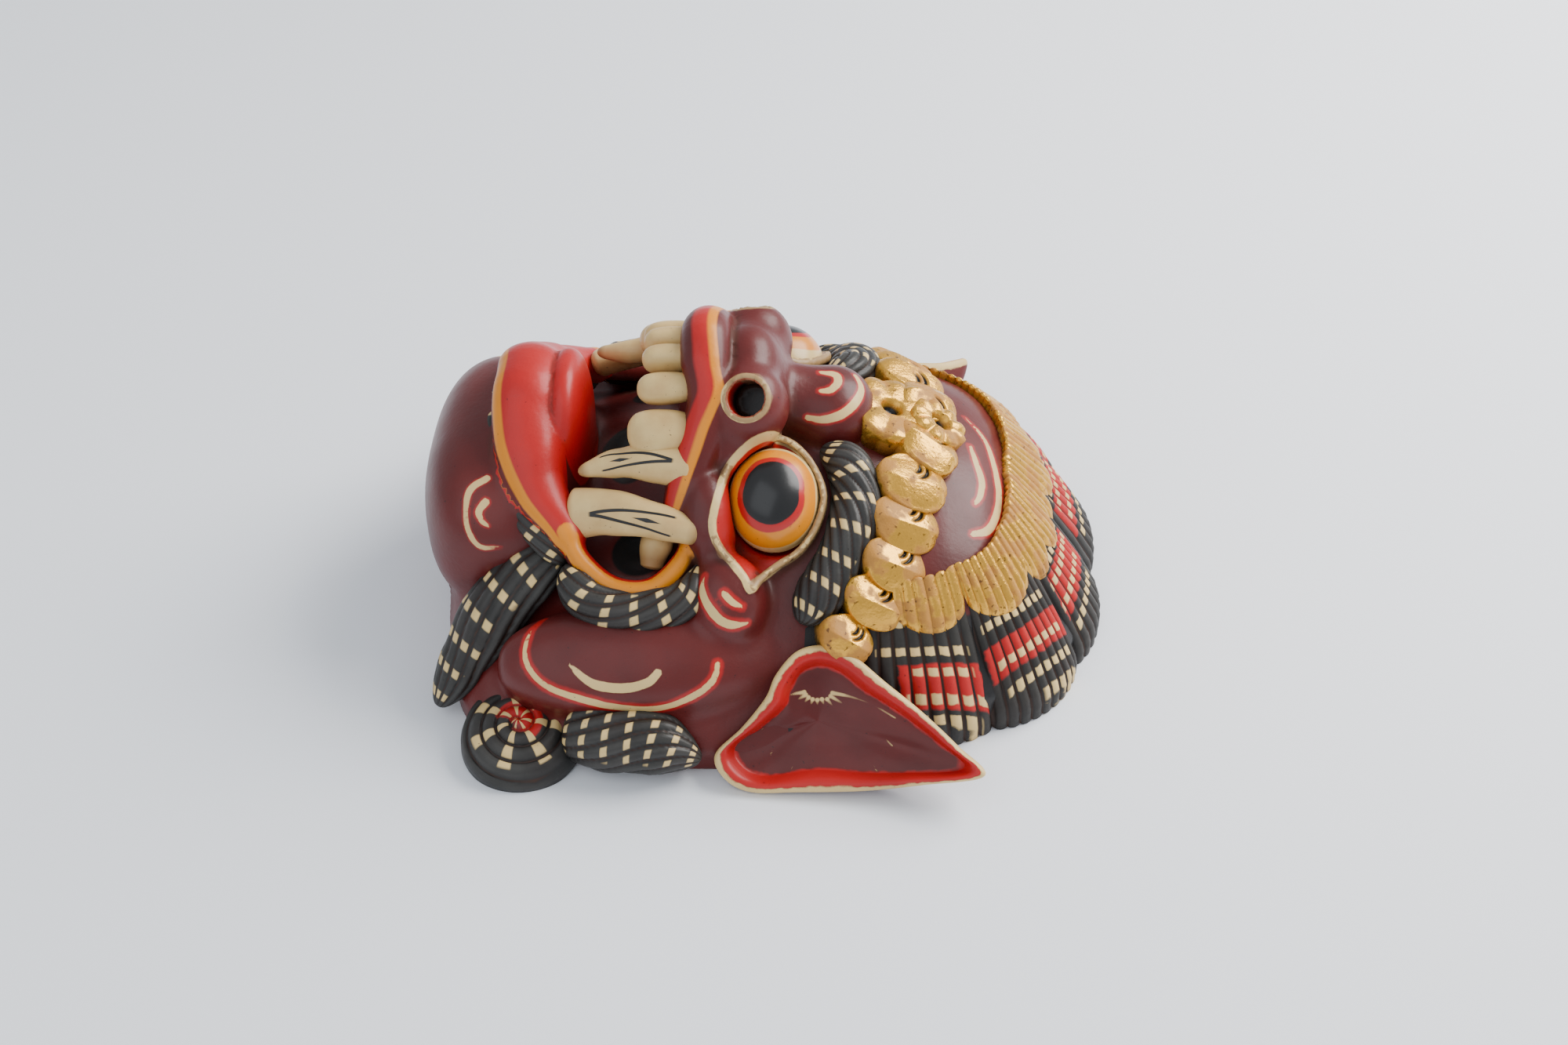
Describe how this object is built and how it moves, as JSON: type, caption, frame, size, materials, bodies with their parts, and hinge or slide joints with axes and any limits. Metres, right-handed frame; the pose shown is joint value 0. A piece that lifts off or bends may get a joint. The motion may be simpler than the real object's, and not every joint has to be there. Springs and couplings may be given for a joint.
{
  "type": "barong mask",
  "caption": "Carved and painted wooden barong dance mask with bulging eyes, bared teeth and tusks, fluted hair and a gilt crown; hollow behind, worn over the face or hung on a wall.",
  "frame": {"origin": "middle of the outline on the plane that the rim of the hollow back rests on", "axes": "+X towards the crown, -X towards the chin, +Z out through the nose, Y from ear to ear with the mask's own left at -Y"},
  "size_m": [0.2186, 0.202, 0.1064],
  "materials": {
    "painted_wood": "glossy lacquer paint and gold leaf over carved light wood, worn at the edges"
  },
  "bodies": {
    "root": {"mask": "painted_wood"}
  },
  "joints": []
}
